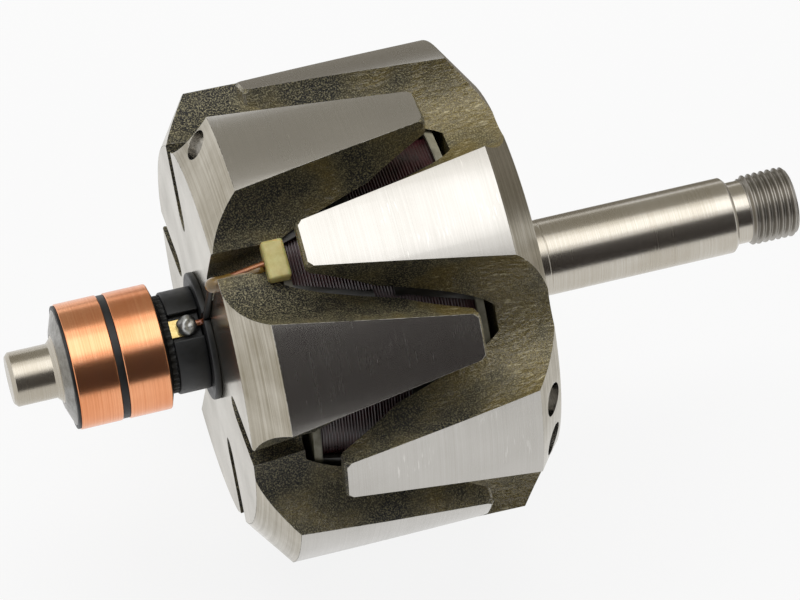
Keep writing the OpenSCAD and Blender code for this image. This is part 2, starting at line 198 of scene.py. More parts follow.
# How the CAD facets are joined, and which edges count as sharp
WELD_DISTANCE = 0.002
FLAT_ANGLE = math.radians(0.3)
POLE_SHARP_ANGLE = math.radians(20)
SHARP_ANGLE = math.radians(30)
TIP_SHARP_ANGLE = math.radians(40)


def on_rotor(x, radius, turn):
    """Point at a radius and turn (degrees) about the rotor axis, in metres."""
    a = math.radians(turn)
    return Vector((x, -radius * math.cos(a), radius * math.sin(a))) * MM


def hex_colour(code):
    """Linear colour of an sRGB hex value."""
    shares = [int(code[k:k + 2], 16) / 255 for k in (1, 3, 5)]
    return [c / 12.92 if c <= 0.04045 else ((c + 0.055) / 1.055) ** 2.4 for c in shares] + [1.0]


def per_metre(size):
    """Pattern scale for features of a size in millimetres."""
    return 1 / (size * MM)


def add(tree, kind, inputs=None, **settings):
    """Adds a node with its settings; an input takes a value or a link."""
    node = tree.nodes.new(kind)
    for name, value in settings.items():
        setattr(node, name, value)
    for key, value in (inputs or {}).items():
        if isinstance(value, bpy.types.NodeSocket):
            tree.links.new(value, node.inputs[key])
        else:
            node.inputs[key].default_value = value
    return node


def blank_tree(owner):
    """Emptied node tree of a material or world."""
    owner.use_nodes = True
    owner.node_tree.nodes.clear()
    return owner.node_tree


def surface(name, **sockets):
    """Material with one shader and its constant sockets; returns material, tree, shader and place socket."""
    material = bpy.data.materials.new(name)
    tree = blank_tree(material)
    shader = add(tree, "ShaderNodeBsdfPrincipled",
                 {key.replace("_", " "): value for key, value in sockets.items()})
    add(tree, "ShaderNodeOutputMaterial", {"Surface": shader.outputs[0]})
    place = add(tree, "ShaderNodeTexCoord").outputs["Object"]
    return material, tree, shader, place


def feed(tree, shader, **links):
    """Links patterns to the shader's sockets."""
    for key, link in links.items():
        tree.links.new(link, shader.inputs[key.replace("_", " ")])


def clouds(tree, place, size, **inputs):
    """Noise with features of a size in mm."""
    return add(tree, "ShaderNodeTexNoise", {"Vector": place, "Scale": per_metre(size), **inputs}).outputs[0]


def streaks(tree, place, along, across, **inputs):
    """Noise with features of one size along the axis and another across it (mm)."""
    size = (per_metre(along), per_metre(across), per_metre(across))
    stretched = add(tree, "ShaderNodeMapping", {"Vector": place, "Scale": size}).outputs[0]
    return add(tree, "ShaderNodeTexNoise", {"Vector": stretched, "Scale": 1.0, **inputs}).outputs[0]


def arithmetic(tree, operation, *values):
    """Result of one arithmetic step on values or links."""
    return add(tree, "ShaderNodeMath", dict(enumerate(values)), operation=operation).outputs[0]


def between(tree, value, low, high, first, second):
    """Value spread from first to second between low and high."""
    return add(tree, "ShaderNodeMapRange", {"Value": value, "From Min": low, "From Max": high,
                                            "To Min": first, "To Max": second}).outputs[0]


def blended(tree, share, first, second):
    """Mix of two colours, each a hex value or a link."""
    first = hex_colour(first) if isinstance(first, str) else first
    second = hex_colour(second) if isinstance(second, str) else second
    return add(tree, "ShaderNodeMix", {0: share, 6: first, 7: second}, data_type="RGBA").outputs[2]


def raised(tree, height, depth, strength):
    """Normal of a pattern that stands up by a depth in mm."""
    return add(tree, "ShaderNodeBump", {"Strength": strength, "Distance": depth * MM,
                                        "Height": height}).outputs[0]


# Pattern sizes in millimetres
LINE_LENGTH = 60
STAIN_SIZE = 14
SCRATCH_WIDTH = 0.5
SCRATCH_LENGTH = 5
SCRATCH_PATCH = 9
GRIT_SIZE = 0.33
GRIT_DEPTH = 0.18
VARNISH_PATCH = 11
HAIR_LENGTH = 2.6
HAIR_WIDTH = 0.55
RIPPLE_LENGTH = 2.2
RIPPLE_WIDTH = 1.1
RIPPLE_DEPTH = 0.8
CRUMB_SIZE = 0.9
CRUMB_DEPTH = 0.2


def turned_metal(name, pale, dark, roughness, line_size, line_depth, scratches=0.0):
    """Metal cut or ground on a lathe: fine lines run round the axis and stretch the highlights."""
    material, tree, shader, place = surface(name, Metallic=1.0, Anisotropic=0.35, Anisotropic_Rotation=0.25)
    lines = streaks(tree, place, line_size, LINE_LENGTH, Detail=3.0, Roughness=0.7)
    share = arithmetic(tree, "ADD", lines, clouds(tree, place, STAIN_SIZE, Detail=5.0))
    colour = blended(tree, between(tree, share, 0.75, 1.3, 0.0, 1.0), dark, pale)
    if scratches:
        marks = streaks(tree, place, SCRATCH_WIDTH, SCRATCH_LENGTH)
        spots = clouds(tree, place, SCRATCH_PATCH, Detail=1.0)
        scratched = arithmetic(tree, "MULTIPLY", between(tree, marks, 0.62, 0.68, 0.0, scratches),
                               between(tree, spots, 0.56, 0.66, 0.0, 1.0))
        colour = blended(tree, scratched, colour, "#f6f4ef")
    tangent = add(tree, "ShaderNodeTangent", direction_type="RADIAL", axis="X").outputs[0]
    feed(tree, shader, Base_Color=colour, Tangent=tangent, Normal=raised(tree, lines, line_depth, 0.5),
         Roughness=between(tree, share, 0.7, 1.3, roughness * 1.12, roughness * 0.9))
    return material


# On all turned and ground metals the real lines are up to 0.1 mm apart; they are drawn 0.25 to 0.4 mm apart
# to show.

# Low carbon steel, turned over the claws after assembly: satin grey, lines round the axis, a few scratches.
TURNED_STEEL = turned_metal("turned_claw_steel", "#c6c3be", "#bbb8b2", 0.25, 0.3, 0.0006, scratches=0.3)
# Low carbon steel, faced flat and chamfered in the lathe: smoother than the claws, with brown varnish stains.
FACED_STEEL = turned_metal("faced_pole_steel", "#c6c0b3", "#8b8370", 0.2, 0.35, 0.0008)
# Low carbon steel, drilled to balance the rotor: bright bare walls with rings round the hole.
DRILLED_STEEL = turned_metal("drilled_pole_steel", "#d8d6d2", "#b9b6b0", 0.16, 0.4, 0.006)
# Alloy steel, ground between centres: a fine bright finish with long highlights and brown handling stains.
GROUND_STEEL = turned_metal("ground_shaft_steel", "#c9c4ba", "#b4ac9d", 0.26, 0.25, 0.0004)
# Alloy steel, thread cut in the lathe: greyer and a little rougher than the ground journal.
CUT_STEEL = turned_metal("cut_thread_steel", "#aeaaa3", "#8a857c", 0.36, 0.25, 0.002)
# Electrolytic copper, turned after moulding: bright orange with fine lines and slight brown tarnish.
RING_COPPER = turned_metal("turned_ring_copper", "#f9b387", "#e79667", 0.24, 0.3, 0.0008)


def forged_steel():
    """Forged pole steel dipped in winding varnish, which is thicker and glossier towards the drive end."""
    material, tree, shader, place = surface("forged_varnished_steel", Metallic=0.15, Coat_Roughness=0.14,
                                            Coat_Tint=hex_colour("#efe6c8"))
    grit = clouds(tree, place, GRIT_SIZE, Detail=1.0, Roughness=0.6)
    along = add(tree, "ShaderNodeSeparateXYZ", {0: place}).outputs[0]
    pooled = between(tree, along, POLE_MIDDLE * MM, DRIVE_FACE * MM, -0.03, 0.22)
    varnish = arithmetic(tree, "ADD", clouds(tree, place, VARNISH_PATCH, Detail=6.0), pooled)
    base = blended(tree, between(tree, varnish, 0.42, 0.66, 0.0, 1.0), "#151411", "#736a4c")
    gritty = blended(tree, between(tree, grit, 0.46, 0.74, 0.0, 0.85), base, "#b3aa85")
    hairs = streaks(tree, place, HAIR_LENGTH, HAIR_WIDTH, Detail=2.0, Distortion=0.6)
    # Pale streaks #dcd8c8 where the varnish is thick: painted glints of the glossy varnish.
    painted_glints = arithmetic(tree, "MULTIPLY", between(tree, hairs, 0.6, 0.68, 0.0, 1.0),
                      between(tree, varnish, 0.56, 0.7, 0.0, 0.8))
    ripples = streaks(tree, place, RIPPLE_LENGTH, RIPPLE_WIDTH, Detail=3.0)
    feed(tree, shader, Base_Color=blended(tree, painted_glints, gritty, "#dcd8c8"),
         Roughness=between(tree, grit, 0.3, 0.7, 0.6, 0.38), Normal=raised(tree, grit, GRIT_DEPTH, 1.0),
         Coat_Weight=between(tree, varnish, 0.5, 0.66, 0.0, 1.0),
         Coat_Normal=raised(tree, ripples, RIPPLE_DEPTH, 1.0))
    return material


# Low carbon steel, hot forged and dipped in winding varnish: dark olive brown and gritty, with wet amber
# patches and pale streaks painted in as glints of the varnish. The real grit is about 0.2 mm; it is drawn at
# 0.33 mm to show.
FORGED_STEEL = forged_steel()


def worn_edge():
    """Edge between a machined and a forged face: crumbs of bare steel in the varnish."""
    material, tree, shader, place = surface("worn_pole_edge", Metallic=0.85)
    crumbs = clouds(tree, place, CRUMB_SIZE, Detail=3.0)
    share = arithmetic(tree, "ADD", crumbs, clouds(tree, place, VARNISH_PATCH, Detail=2.0))
    feed(tree, shader, Normal=raised(tree, crumbs, CRUMB_DEPTH, 0.8),
         Base_Color=blended(tree, between(tree, share, 0.85, 1.15, 0.0, 1.0), "#4a4535", "#bab7af"),
         Roughness=between(tree, crumbs, 0.3, 0.7, 0.5, 0.3))
    return material


# Low carbon steel, edge left where the lathe tool broke out of the forging: bright crumbs, dull between them.
WORN_EDGE = worn_edge()


def moulded(name, colour, speck_colour, roughness, speck_size, depth, **sockets):
    """Moulded, poured or frozen stuff: one colour with soft mottling and a slight orange peel."""
    material, tree, shader, place = surface(name, **sockets)
    mottle = clouds(tree, place, speck_size, Detail=5.0, Roughness=0.65)
    feed(tree, shader, Normal=raised(tree, mottle, depth, 0.4),
         Base_Color=blended(tree, between(tree, mottle, 0.35, 0.7, 0.0, 1.0), colour, speck_colour),
         Roughness=between(tree, mottle, 0.3, 0.7, roughness * 0.85, roughness * 1.2))
    return material


def varnished_nylon_with_painted_shade():
    """Bobbin nylon with dark petals between the two flanges: partly soaked varnish, partly painted shade."""
    material = moulded("moulded_grey_nylon", "#a5a08a", "#7f7a66", 0.4, 2.5, 0.03, IOR=1.53)
    tree = material.node_tree
    shader = next(n for n in tree.nodes if n.type == "BSDF_PRINCIPLED")
    place = next(n for n in tree.nodes if n.type == "TEX_COORD").outputs["Object"]
    along = add(tree, "ShaderNodeSeparateXYZ", {0: place}).outputs[0]
    off_middle = arithmetic(tree, "ABSOLUTE", arithmetic(tree, "SUBTRACT", along, POLE_MIDDLE * MM))
    flange = between(tree, off_middle, PETAL_HALF_LENGTH * MM, FLANGE_START * MM, 0.0, 1.0)
    flange_colour = shader.inputs["Base Color"].links[0].from_socket
    # The petals get #2f2d27: partly varnish soaked in, partly painted shade from the claws over them.
    feed(tree, shader, Base_Color=blended(tree, flange, "#2f2d27", flange_colour))
    return material


# Phenolic moulding compound, pressed in a mould: near black with a dull sheen.
BLACK_MOULDING = moulded("moulded_black_phenolic", "#0b0c0d", "#151719", 0.45, 1.2, 0.05, IOR=1.5)
# Nylon, injection moulded, yellowed by the varnish oven: cream, slightly see-through.
CREAM_NYLON = moulded("moulded_cream_nylon", "#f0e59a", "#dccb78", 0.35, 2.2, 0.03, IOR=1.53,
                      Subsurface_Weight=0.25, Subsurface_Scale=0.0015)
# Glass filled nylon, injection moulded, browned by the varnish dip: dull grey cream flanges and dark petals;
# the petals' darkness is partly soaked varnish and partly painted shade from the claws above them.
GREY_NYLON = varnished_nylon_with_painted_shade()
# Epoxy poured into the end of the slip ring moulding: light grey, nearly flat, with trapped dirt.
GREY_EPOXY = moulded("poured_grey_epoxy", "#d2d0ca", "#a09c94", 0.3, 1.5, 0.08, IOR=1.55)
# Winding varnish left as a drop: clear amber over the wire.
AMBER_VARNISH = moulded("dripped_amber_varnish", "#8a6a2e", "#b08d4a", 0.18, 1.6, 0.1, IOR=1.5,
                        Coat_Weight=0.6)
# Enamelled copper wire, wound in layers: dark red enamel with pink lights on each turn.
WIRE_ENAMEL = moulded("wound_wire_enamel", "#2a1013", "#4c2226", 0.3, 3.0, 0.02, IOR=1.6, Coat_Weight=0.3)
# Enamelled copper lead, varnished as it was dipped: brown orange, the copper showing through.
LEAD_ENAMEL = moulded("varnished_lead_enamel", "#8f4a2c", "#b87842", 0.25, 2.0, 0.03, Metallic=0.35,
                      Coat_Weight=0.7)
# Tin lead solder, frozen in a drop: grey white and bright.
SOLDER = moulded("frozen_solder", "#c3c4c2", "#9a9b99", 0.38, 1.0, 0.08, Metallic=1.0)
# Brass strip, punched and tinned at its end: pale yellow.
BRASS = moulded("punched_brass", "#d2bd84", "#b39a5c", 0.25, 1.4, 0.02, Metallic=1.0)


def piece(name, mesh, materials, slot, *nodes):
    """Object from a mesh that rides with the rotor and stands for CAD nodes."""
    for material in materials:
        mesh.materials.append(material)
    for face in mesh.polygons:
        face.use_smooth = True
    obj = bpy.data.objects.new(name, mesh)
    scene.collection.objects.link(obj)
    even = obj.modifiers.new("even_normals", "WEIGHTED_NORMAL")
    even.mode = "FACE_AREA"
    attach(obj, "root")
    if nodes:
        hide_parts(*nodes)
    return obj


def finished(shape, name):
    """Mesh from a bmesh, which is freed."""
    mesh = bpy.data.meshes.new(name)
    shape.to_mesh(mesh)
    shape.free()
    return mesh


def spread(start, end, count):
    """Even places from start to end."""
    return [start + (end - start) * k / count for k in range(count + 1)]


def soft_bend(start, corner, end, steps):
    """Points from start to end, drawn towards the corner."""
    return [start * (1 - t) ** 2 + corner * 2 * t * (1 - t) + end * t * t for t in spread(0, 1, steps)]


def rounded(corners, radius, closed, steps=3):
    """Profile of (place, radius) corners with each corner rounded."""
    count = len(corners)
    out = []
    for k, corner in enumerate(corners):
        if not closed and k in (0, count - 1):
            out.append(corner)
            continue
        here = Vector(corner)
        before = Vector(corners[k - 1]) - here
        after = Vector(corners[(k + 1) % count]) - here
        start = here + before.normalized() * min(radius, before.length * CORNER_SHARE)
        end = here + after.normalized() * min(radius, after.length * CORNER_SHARE)
        out += [tuple(point) for point in soft_bend(start, here, end, steps)]
    return out


def turned_mesh(name, profile, sides, closed, reshape=None):
    """Mesh turned about the rotor axis from a profile in mm; reshape changes a point's radius by its turn."""
    points, faces = [], []
    for x, radius in profile:
        for side in range(sides):
            turn = 360 * side / sides
            points.append(on_rotor(x, reshape(x, radius, turn) if reshape else radius, turn))
    count = len(profile)
    for k in range(count if closed else count - 1):
        here, there = k * sides, (k + 1) % count * sides
        for side in range(sides):
            after = (side + 1) % sides
            faces.append((here + side, there + side, there + after, here + after))
    if not closed:
        faces.append(tuple(range(sides)))
        faces.append(tuple(reversed(range((count - 1) * sides, count * sides))))
    mesh = bpy.data.meshes.new(name)
    mesh.from_pydata(points, [], faces)
    shape = bmesh.new()
    shape.from_mesh(mesh)
    bmesh.ops.recalc_face_normals(shape, faces=shape.faces)
    shape.to_mesh(mesh)
    shape.free()
    return mesh


# Shaft: plain turned lengths, then a cut thread as one helix
def thread_shape(x, radius, turn):
    """Radius where the thread is cut, and the plain radius elsewhere."""
    if x < RELIEF_END:
        return radius
    phase = ((x - RELIEF_END) / THREAD_PITCH - turn / 360) % 1
    flank = min(1.0, max(0.0, (abs(phase - 0.5) * 2 - THREAD_CREST_SHARE) / THREAD_FLANK_SHARE))
    return min(radius, THREAD_RADIUS - THREAD_DEPTH * flank)


def thread_blank(x):
    """Radius of the thread's blank, with a chamfer at each end."""
    return min(THREAD_RADIUS, THREAD_RADIUS - SHAFT_CHAMFER + min(x - RELIEF_END, THREAD_END - x))


shaft_profile = rounded([
    (REAR_END, CENTRE_RADIUS), (REAR_END, REAR_JOURNAL_RADIUS - SHAFT_CHAMFER),
    (REAR_END + SHAFT_CHAMFER, REAR_JOURNAL_RADIUS), (REAR_ROOT_PLACE, REAR_JOURNAL_RADIUS),
    (CAP_PLACE, REAR_ROOT_RADIUS), (CAP_PLACE, RING_SEAT_RADIUS), (REAR_FACE, RING_SEAT_RADIUS),
    (REAR_FACE, SEAT_RADIUS), (DRIVE_FACE, SEAT_RADIUS), (DRIVE_FACE, SHOULDER_RADIUS),
    (-SHAFT_CHAMFER, SHOULDER_RADIUS), (0.0, SHOULDER_RADIUS - SHAFT_CHAMFER), (0.0, JOURNAL_RADIUS),
    (GROOVE_PLACE - GROOVE_HALF_WIDTH, JOURNAL_RADIUS), (GROOVE_PLACE, JOURNAL_RADIUS - GROOVE_DEPTH),
    (GROOVE_PLACE + GROOVE_HALF_WIDTH, JOURNAL_RADIUS), (JOURNAL_END - SHAFT_CHAMFER, JOURNAL_RADIUS),
    (JOURNAL_END, JOURNAL_RADIUS - SHAFT_CHAMFER), (JOURNAL_END, RELIEF_RADIUS),
    (RELIEF_END, RELIEF_RADIUS)], SHAFT_EASE, False)
shaft_profile += [(x, thread_blank(x)) for x in spread(RELIEF_END, THREAD_END, THREAD_STEPS)]
shaft_profile.append((THREAD_END, CENTRE_RADIUS))
shaft_mesh = turned_mesh("shaft", shaft_profile, SHAFT_SIDES, False, thread_shape)
shaft = piece("shaft_ground", shaft_mesh, [GROUND_STEEL, CUT_STEEL], "shaft_steel", "shaft")
for face in shaft_mesh.polygons:
    face.material_index = 1 if face.center.x > RELIEF_END * MM else 0


def key_seat():
    """Cuts the half moon key seat with a disc cutter."""
    a = math.radians(KEY_TURN)
    out = Vector((0, -math.cos(a), math.sin(a)))
    side = Vector((0, math.sin(a), math.cos(a)))
    centre = on_rotor(KEY_PLACE, JOURNAL_RADIUS - KEY_DEPTH + KEY_CUTTER_RADIUS, KEY_TURN)
    frame_of_cutter = Matrix((Vector((1, 0, 0)), out, side)).transposed().to_4x4()
    disc = bmesh.new()
    bmesh.ops.create_cone(disc, cap_ends=True, segments=CUTTER_SIDES, radius1=KEY_CUTTER_RADIUS * MM,
                          radius2=KEY_CUTTER_RADIUS * MM, depth=KEY_WIDTH * MM,
                          matrix=Matrix.Translation(centre) @ frame_of_cutter)
    cutter = bpy.data.objects.new("key_cutter", finished(disc, "key_cutter"))
    scene.collection.objects.link(cutter)
    cut = shaft.modifiers.new("key_seat", "BOOLEAN")
    cut.operation = "DIFFERENCE"
    cut.object = cutter
    bpy.context.view_layer.update()
    result = bpy.data.meshes.new_from_object(shaft.evaluated_get(bpy.context.evaluated_depsgraph_get()))
    shaft.modifiers.remove(cut)
    shaft.data = result
    bpy.data.objects.remove(cutter)


key_seat()

# Slip rings, their moulding and its end
OUTER_RING_END = OUTER_RING_PLACE + OUTER_RING_WIDTH
INNER_RING_END = INNER_RING_PLACE + INNER_RING_WIDTH
for name, start, end in (("outer", OUTER_RING_PLACE, OUTER_RING_END),
                         ("inner", INNER_RING_PLACE, INNER_RING_END)):
    corners = [(start, RING_BORE), (start, RING_RADIUS), (end, RING_RADIUS), (end, RING_BORE)]
    ring_mesh = turned_mesh(name, rounded(corners, RING_EASE, True), RING_SIDES, True)
    piece(f"slip_ring_{name}_turned", ring_mesh, [RING_COPPER], "ring_copper", f"slip_ring_{name}")


def neck_shape(x, radius, turn):
    """Ribs round the neck behind the rings."""
    if x < NECK_PLACE + NECK_SLACK or radius < NECK_RADIUS - NECK_SLACK:
        return radius
    return radius - NECK_RIB_DEPTH * (0.5 - 0.5 * math.cos(math.radians(turn * NECK_RIBS)))


moulding_corners = [
    (OUTER_RIM_PLACE, RING_SEAT_RADIUS), (OUTER_RIM_PLACE, RIM_RADIUS), (OUTER_RING_PLACE, RIM_RADIUS),
    (OUTER_RING_PLACE, RING_BORE), (OUTER_RING_END, RING_BORE), (OUTER_RING_END, RIM_RADIUS),
    (INNER_RING_PLACE, RIM_RADIUS), (INNER_RING_PLACE, RING_BORE), (INNER_RING_END, RING_BORE),
    (INNER_RING_END, RIM_RADIUS), (NECK_PLACE, NECK_RADIUS), (COLLAR_PLACE, NECK_RADIUS),
    (COLLAR_PLACE, RING_SEAT_RADIUS)]
moulding_profile = rounded(moulding_corners, MOULDING_EASE, True)
moulding_mesh = turned_mesh("moulding", moulding_profile, MOULDING_SIDES, True, neck_shape)
piece("slip_ring_moulding_ribbed", moulding_mesh, [BLACK_MOULDING], "black_moulding", "slip_ring_moulding")


def cap_shape(x, radius, turn):
    """Small dips round the poured end of the moulding."""
    gap = min(abs((turn - notch + 180) % 360 - 180) for notch in CAP_NOTCHES)
    dip = max(0.0, 1 - (gap / CAP_NOTCH_HALF_TURN) ** 2)
    return radius - CAP_NOTCH_DEPTH * dip if radius > RING_BORE - CAP_NOTCH_REACH else radius


cap_corners = [(CAP_PLACE, RING_SEAT_RADIUS), (CAP_PLACE, CAP_TIP_RADIUS),
               (OUTER_RIM_PLACE, RIM_RADIUS - CAP_STEP), (OUTER_RIM_PLACE, RING_SEAT_RADIUS)]
cap_mesh = turned_mesh("cap", rounded(cap_corners, CAP_EASE, True, 5), CAP_SIDES, True, cap_shape)
piece("ring_end_cap_poured", cap_mesh, [GREY_EPOXY], "end_cap_resin", "ring_end_cap")

# Field winding: the outer layer as one helix of round wire, some turns a little low
turn_count = round(2 * COIL_HALF_LENGTH / WIRE_PITCH)
turn_height = [random.uniform(-TURN_SINK, 0.0) for _ in range(turn_count + 2)]


def winding_shape(x, radius, turn):
    """Radius of the outer layer of wire, turn by turn."""
    if radius < COIL_RADIUS - COIL_SLACK:
        return radius
    along = (x - POLE_MIDDLE + COIL_HALF_LENGTH) / WIRE_PITCH - turn / 360
    number = math.floor(along)
    across = (along - number) * 2 - 1
    a = math.radians(turn)
    spot = Vector((number * WANDER_BETWEEN_TURNS, math.cos(a) * WANDER_ROUND_A_TURN,
                   math.sin(a) * WANDER_ROUND_A_TURN))
    wander = WIRE_WANDER * noise.noise(spot)
    drop = WIRE_PITCH / 2 * (1 - math.sqrt(max(0.0, 1 - across * across)))
    return radius + turn_height[number + 1] + wander - drop - WIRE_WANDER


coil_places = spread(POLE_MIDDLE - COIL_HALF_LENGTH, POLE_MIDDLE + COIL_HALF_LENGTH,
                     turn_count * STEPS_PER_TURN)
coil_profile = [(x, COIL_RADIUS) for x in coil_places]
coil_profile = [(coil_places[0], COIL_BORE)] + coil_profile + [(coil_places[-1], COIL_BORE)]
piece("field_coil_wound", turned_mesh("coil", coil_profile, COIL_SIDES, True, winding_shape),
      [WIRE_ENAMEL], "winding", "field_coil")

# Poles: the forged shape with its machined faces told apart, and every edge eased
POLE_MATERIALS = [FORGED_STEEL, TURNED_STEEL, FACED_STEEL, DRILLED_STEEL, WORN_EDGE]
FORGED, TURNED, FACED, DRILLED, WORN = range(len(POLE_MATERIALS))


def cad_shape(node):
    """Bmesh copy of a CAD node with its facets joined into flat faces."""
    shape = bmesh.new()
    shape.from_mesh(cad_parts[node].data)
    bmesh.ops.remove_doubles(shape, verts=shape.verts, dist=WELD_DISTANCE * MM)
    bmesh.ops.dissolve_limit(shape, angle_limit=FLAT_ANGLE, verts=shape.verts, edges=shape.edges)
    return shape


def sharp_edges(shape, angle):
    """Edges where two faces meet at more than an angle."""
    return [e for e in shape.edges if len(e.link_faces) == 2 and e.calc_face_angle() > angle]


def ease(shape, edges, radius, segments, **settings):
    """Rounds edges by a radius in mm."""
    bmesh.ops.bevel(shape, geom=edges, offset=radius * MM, offset_type="OFFSET", segments=segments,
                    profile=0.5, affect="EDGES", **settings)


def pole_start(node):
    """Place of a pole's end face, and which way its claws point."""
    return (REAR_FACE, 1) if node == "slip_ring_end_pole" else (DRIVE_FACE, -1)


def in_drilling(centre, node):
    """True for a point on the wall or the bottom of a balance drilling."""
    start, step = pole_start(node)
    place = DRILL_PLACE[node]
    for turn in DRILL_TURNS[node]:
        mouth = on_rotor(start + step * place, FACE_RADIUS + place * EDGE_SLOPE, turn) / MM
        out = (on_rotor(0, 1, turn) / MM - Vector((step * EDGE_SLOPE, 0, 0))).normalized()
        away = centre - mouth
        depth = away.dot(out)
        if (away - out * depth).length < DRILL_RADIUS[node] + DRILL_SLACK and abs(depth) < DRILL_REACH:
            return True
    return False


def machined(face, node):
    """Material of a pole's face, from where the face lies."""
    centre = face.calc_center_median() / MM
    if in_drilling(centre, node):
        return DRILLED
    start, step = pole_start(node)
    radius = math.hypot(centre.y, centre.z)
    inward = (centre.x - start) * step
    outward = Vector((0, centre.y, centre.z)).normalized()
    if radius > POLE_RADIUS - OUTSIDE_SLACK and face.normal.dot(outward) > OUTSIDE_FACING:
        return TURNED
    if inward < END_SLACK:
        return FACED
    off_cone = abs(radius - FACE_RADIUS - inward * EDGE_SLOPE)
    if inward < EDGE_LENGTH and off_cone < CONE_SLACK and abs(face.normal.x) > CONE_FACING:
        return FACED
    return FORGED


def tip_corner(edge, node):
    """True for an upright edge at the tip of a claw."""
    start, step = pole_start(node)
    first, second = (vert.co for vert in edge.verts)
    centre = (first + second) / 2 / MM
    outward = Vector((0, centre.y, centre.z)).normalized()
    upright = outward.dot((second - first).normalized()) ** 2
    from_tip = abs(centre.x - start - step * (EDGE_LENGTH + CLAW_LENGTH))
    return from_tip < TIP_REACH and upright > UPRIGHT_SHARE


for node in DRILL_TURNS:
    shape = cad_shape(node)
    for face in shape.faces:
        face.material_index = machined(face, node)
    corners = [e for e in sharp_edges(shape, TIP_SHARP_ANGLE) if tip_corner(e, node)]
    ease(shape, corners, TIP_ROUND, 3, clamp_overlap=False, material=FORGED)
    ease(shape, sharp_edges(shape, POLE_SHARP_ANGLE), POLE_EASE, 2, clamp_overlap=True, material=WORN)
    piece(f"{node}_forged", finished(shape, node), POLE_MATERIALS, "pole_steel", node)


# Leads, their seals and solder
def drawn_wire(name, points, radii, sides):
    """Round wire along points, as a closed tube with a radius at each point."""
    verts, faces = [], []
    up = Vector((0.3, 0.2, 1.0))
    count = len(points)
    for k, point in enumerate(points):
        ahead = (points[min(k + 1, count - 1)] - points[max(k - 1, 0)]).normalized()
        up = (up - ahead * up.dot(ahead)).normalized()
        across = ahead.cross(up)
        for side in range(sides):
            a = 2 * math.pi * side / sides
            verts.append(point + (up * math.cos(a) + across * math.sin(a)) * radii[k] * MM)
    for k in range(count - 1):
        here, there = k * sides, (k + 1) * sides
        for side in range(sides):
            after = (side + 1) % sides
            faces.append((here + side, here + after, there + after, there + side))
    faces.append(tuple(reversed(range(sides))))
    faces.append(tuple(range((count - 1) * sides, count * sides)))
    mesh = bpy.data.meshes.new(name)
    mesh.from_pydata(verts, [], faces)
    return mesh


def bent(corners, radius, steps=8):
    """Points along corners with each bend rounded."""
    out = [corners[0]]
    for before, here, after in zip(corners, corners[1:], corners[2:]):
        start = here + (before - here).normalized() * radius * MM
        end = here + (after - here).normalized() * radius * MM
        out += soft_bend(start, here, end, steps)
    out.append(corners[-1])
    return out


def dropped(name, centre, size, unevenness, seed):
    """Lump of solder that froze as it ran: a ball drawn out of round by soft noise."""
    ball = bmesh.new()
    bmesh.ops.create_icosphere(ball, subdivisions=4, radius=1.0)
    for vert in ball.verts:
        lump = 1 + unevenness * noise.noise(vert.co * BEAD_LUMPS + Vector((seed, 0, 0)))
        vert.co = centre + Vector([c * s for c, s in zip(vert.co, size)]) * lump * MM
    return finished(ball, name)


def lead_wire(letter, turn):
    """Lead from its block over the pole face to the collar, in a black sleeve between two radii."""
    route = bent([on_rotor(LEAD_TOP_PLACE, LEAD_TOP_RADIUS, turn),
                  on_rotor(LEAD_FACE_PLACE, LEAD_FACE_RADIUS, turn),
                  on_rotor(LEAD_FACE_PLACE, LEAD_END_RADIUS, turn),
                  on_rotor(LEAD_END_PLACE, LEAD_END_RADIUS, turn)], LEAD_BEND)
    mesh = drawn_wire("lead", route, [LEAD_RADIUS] * len(route), LEAD_SIDES)
    piece(f"lead_wire_{letter}_drawn", mesh, [LEAD_ENAMEL, BLACK_MOULDING], "lead_copper",
          f"lead_wire_{letter}")
    for face in mesh.polygons:
        radius = math.hypot(face.center.y, face.center.z) / MM
        face.material_index = 1 if SLEEVE_END < radius < SLEEVE_START else 0


def lead_seal(letter, turn):
    """Varnish that ran along the lead and froze as a swelling lump."""
    bends = bent([on_rotor(x, radius, turn - lean) for x, radius, lean in RUN_CORNERS], LEAD_BEND)
    run = []
    for here, after in zip(bends, bends[1:]):
        run += [here, (here * 2 + after) / 3, (here + after * 2) / 3]
    swell = []
    for k, point in enumerate(run):
        t = k / (len(run) - 1)
        closing = min(1.0, (1 - t) * RUN_CLOSING) ** 0.5
        lump = RUN_LUMP * noise.noise(point * per_metre(RUN_LUMP_SIZE) + Vector((turn, 0, 0)))
        swell.append((RUN_START_RADIUS + RUN_GROWTH * t + lump) * closing + RUN_TIP_RADIUS)
    piece(f"lead_seal_{letter}_dripped", drawn_wire("seal", run, swell, RUN_SIDES), [AMBER_VARNISH],
          "lead_resin", f"lead_seal_{letter}")


for letter, turn in LEAD_TURNS.items():
    lead_wire(letter, turn)
    lead_seal(letter, turn)
    bead_mesh = dropped("bead", on_rotor(BEAD_PLACE, BEAD_RADIUS, turn), BEAD_SIZE, BEAD_LUMP, turn)
    piece(f"solder_bead_{letter}_frozen", bead_mesh, [SOLDER], "solder", f"solder_bead_{letter}")

# Lead blocks: the moulded shape with its outer edges well rounded
for letter in LEAD_TURNS:
    shape = cad_shape(f"lead_block_{letter}")
    outer = [e for e in sharp_edges(shape, SHARP_ANGLE) if e.calc_length() > BLOCK_SHORTEST_EDGE * MM]
    ease(shape, outer, BLOCK_EASE, 4, clamp_overlap=False)
    piece(f"lead_block_{letter}_moulded", finished(shape, "lead_block"), [CREAM_NYLON], "lead_nylon",
          f"lead_block_{letter}")

